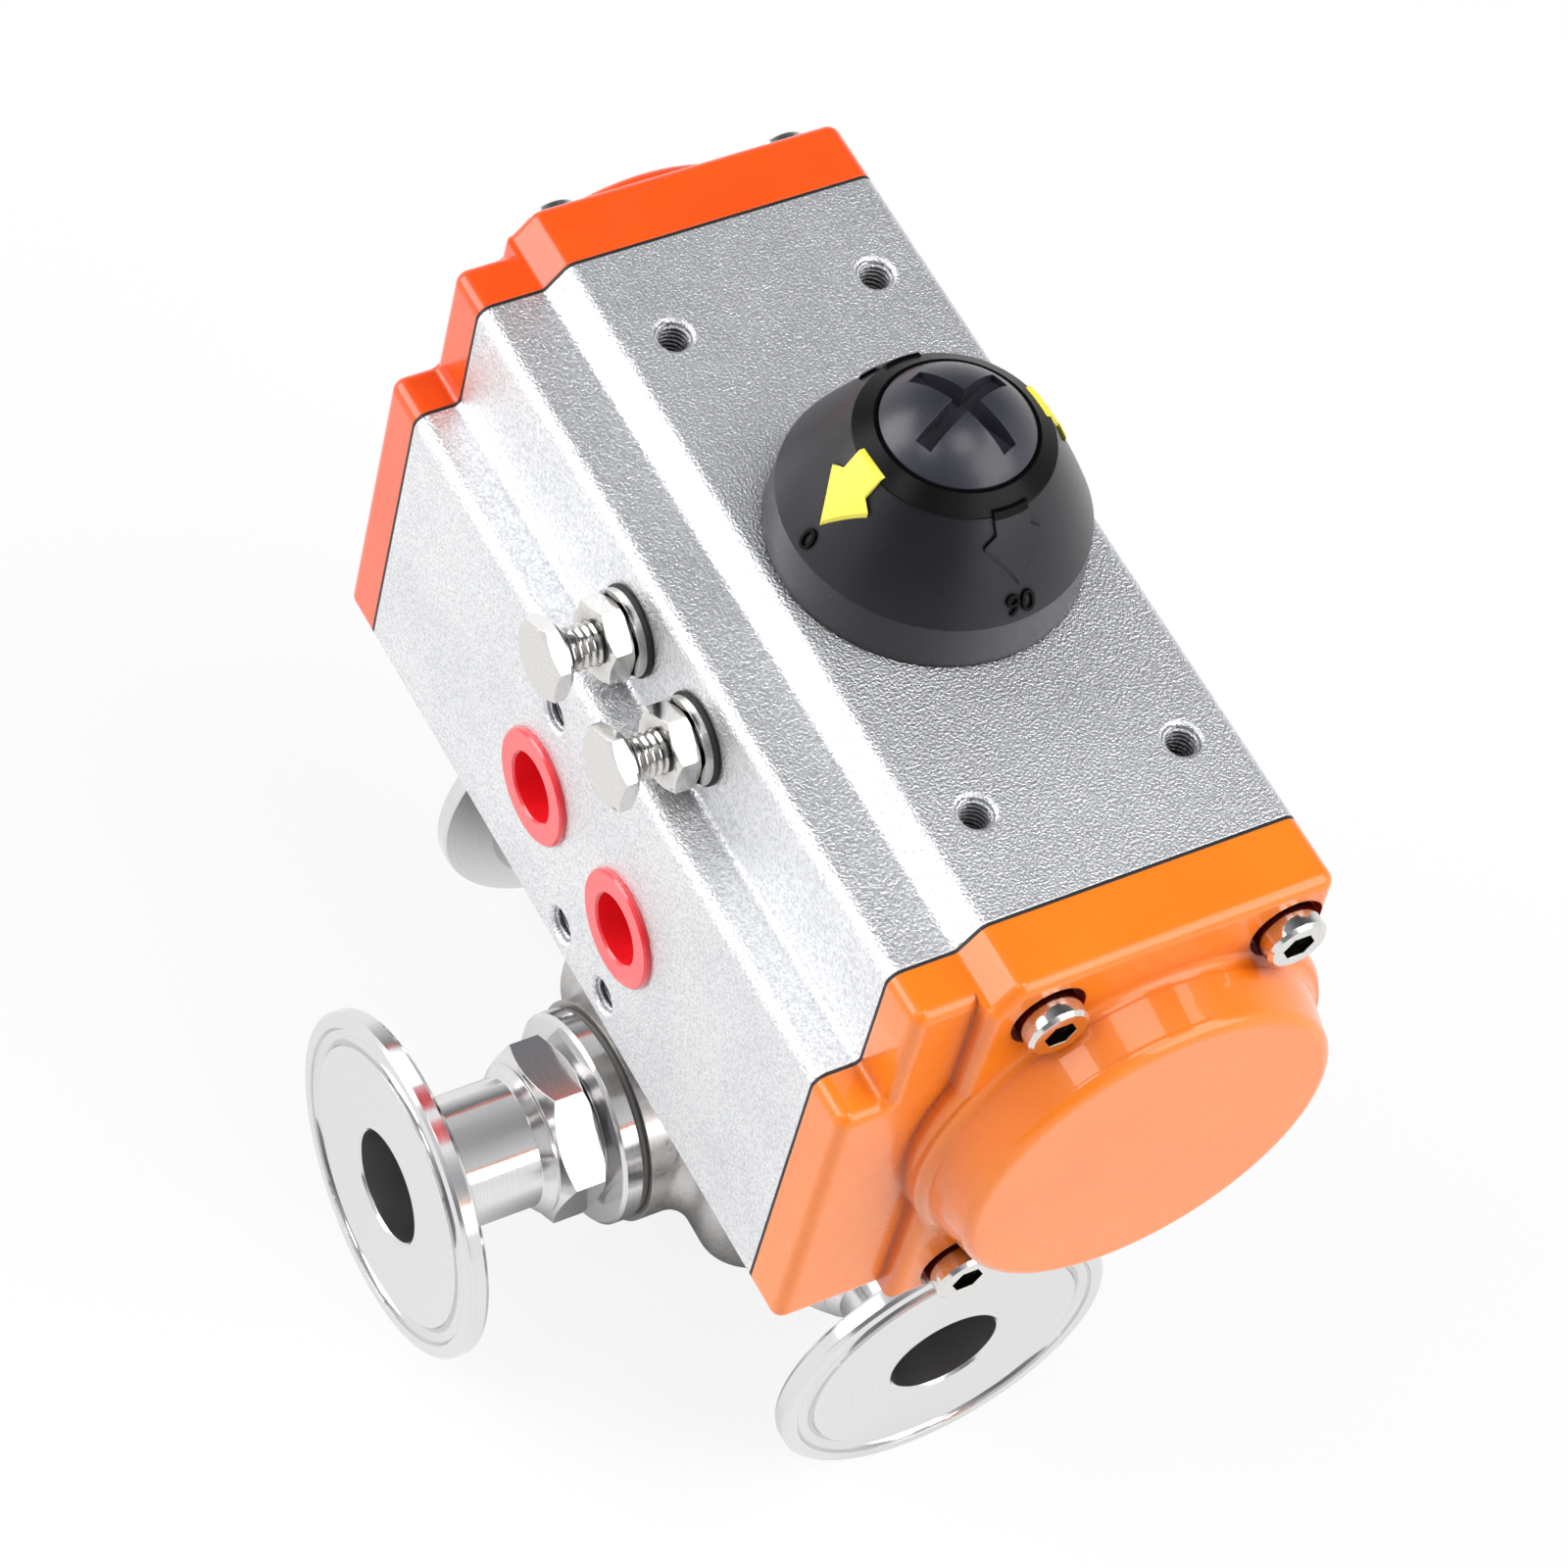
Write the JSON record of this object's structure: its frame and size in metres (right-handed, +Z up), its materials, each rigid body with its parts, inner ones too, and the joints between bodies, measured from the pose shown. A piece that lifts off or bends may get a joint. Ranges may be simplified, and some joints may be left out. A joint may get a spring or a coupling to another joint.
{
  "type": "three-way ball valve",
  "caption": "Three-way sanitary ball valve with clamp ferrule ports, turned by a double-acting rack-and-pinion pneumatic actuator with orange end caps and a domed position indicator.",
  "frame": {"origin": "centre of the ball, where the stem axis meets the two port axes", "axes": "+Z up along the stem to the indicator, +X toward port B along the actuator, -Y toward port C and the air ports"},
  "size_m": [0.148, 0.09, 0.1724],
  "materials": {
    "anodised_aluminium": "fine sand-blasted and anodised extrusion",
    "orange_coating": "smooth glossy orange powder coat on die-cast aluminium",
    "cast_aluminium": "die-cast and machined",
    "plated_steel": "nickel-plated steel",
    "stainless_fastener": "bright stainless fastener",
    "spring_steel": "phosphated spring steel",
    "cast_stainless": "satin investment-cast stainless steel",
    "polished_stainless": "mirror-polished sanitary stainless steel",
    "turned_stainless": "finely turned stainless steel",
    "polished_ball": "lapped and polished ball",
    "black_rubber": "nitrile rubber",
    "acetal_plastic": "natural acetal bearing plastic",
    "seat_polymer": "white fluoropolymer",
    "red_plastic": "soft red moulded plug",
    "black_plastic": "black moulded plastic, satin",
    "black_gloss_plastic": "black moulded plastic, semi-gloss",
    "yellow_plastic": "yellow moulded plastic"
  },
  "bodies": {
    "housing": {"actuator_body": "anodised_aluminium", "end_cap_left": "orange_coating", "end_cap_right": "orange_coating", "cap_gasket_left": "black_rubber", "cap_gasket_right": "black_rubber", "cap_screws": "stainless_fastener", "lower_bearing": "acetal_plastic", "upper_bearing": "acetal_plastic", "inner_thrust_washer": "acetal_plastic", "outer_thrust_washer": "acetal_plastic", "stop_lock_nuts": "stainless_fastener", "stop_washers": "stainless_fastener", "stop_seal_rings": "black_rubber", "valve_body": "cast_stainless", "end_connector_a": "polished_stainless", "end_connector_b": "polished_stainless", "end_connector_c": "polished_stainless", "body_seals": "seat_polymer", "ball_seats": "seat_polymer", "stem_thrust_seal": "seat_polymer", "stem_packing": "seat_polymer", "gland_ring": "turned_stainless", "flange_bolts": "stainless_fastener", "flange_washers": "stainless_fastener"},
    "drive_train": {"drive_pinion": "plated_steel", "stop_cam": "plated_steel", "circlip": "spring_steel", "spacer_ring": "stainless_fastener", "lower_shaft_ring": "black_rubber", "upper_shaft_ring": "black_rubber", "indicator_cap": "black_plastic", "indicator_arrows": "yellow_plastic", "indicator_screw": "black_gloss_plastic", "stem": "turned_stainless", "stem_ring": "black_rubber", "gland_nut": "stainless_fastener", "disc_springs": "spring_steel", "ball": "polished_ball"},
    "left_piston": {"piston_left": "cast_aluminium", "piston_ring_left": "black_rubber", "guide_ring_left": "acetal_plastic", "rack_pad_left": "acetal_plastic"},
    "right_piston": {"piston_right": "cast_aluminium", "piston_ring_right": "black_rubber", "guide_ring_right": "acetal_plastic", "rack_pad_right": "acetal_plastic"},
    "left_stop_bolt": {"stop_bolt_left": "stainless_fastener"},
    "right_stop_bolt": {"stop_bolt_right": "stainless_fastener"},
    "left_plug": {"port_plug_left": "red_plastic"},
    "right_plug": {"port_plug_right": "red_plastic"}
  },
  "joints": [
    {"name": "drive_turn", "type": "hinge", "parent": "housing", "child": "drive_train", "pos_m": [0, 0, 0.0825], "axis": [0, 0, 1], "range_deg": [0, 90]},
    {"name": "left_piston_slide", "type": "slide", "parent": "housing", "child": "left_piston", "axis": [-1, 0, 0], "range_m": [0, 0.01571]},
    {"name": "right_piston_slide", "type": "slide", "parent": "housing", "child": "right_piston", "axis": [1, 0, 0], "range_m": [0, 0.01571]},
    {"name": "left_stop_adjust", "type": "slide", "parent": "housing", "child": "left_stop_bolt", "axis": [0, -1, 0], "range_m": [0, 0.003]},
    {"name": "right_stop_adjust", "type": "slide", "parent": "housing", "child": "right_stop_bolt", "axis": [0, -1, 0], "range_m": [0, 0.003]},
    {"name": "left_plug_pull", "type": "slide", "parent": "housing", "child": "left_plug", "axis": [0, -1, 0], "range_m": [0, 0.01]},
    {"name": "right_plug_pull", "type": "slide", "parent": "housing", "child": "right_plug", "axis": [0, -1, 0], "range_m": [0, 0.01]}
  ],
  "couplings": [
    {"joint": "left_piston_slide", "follows": "drive_turn", "m_per_rad": 0.01},
    {"joint": "right_piston_slide", "follows": "drive_turn", "m_per_rad": 0.01}
  ]
}
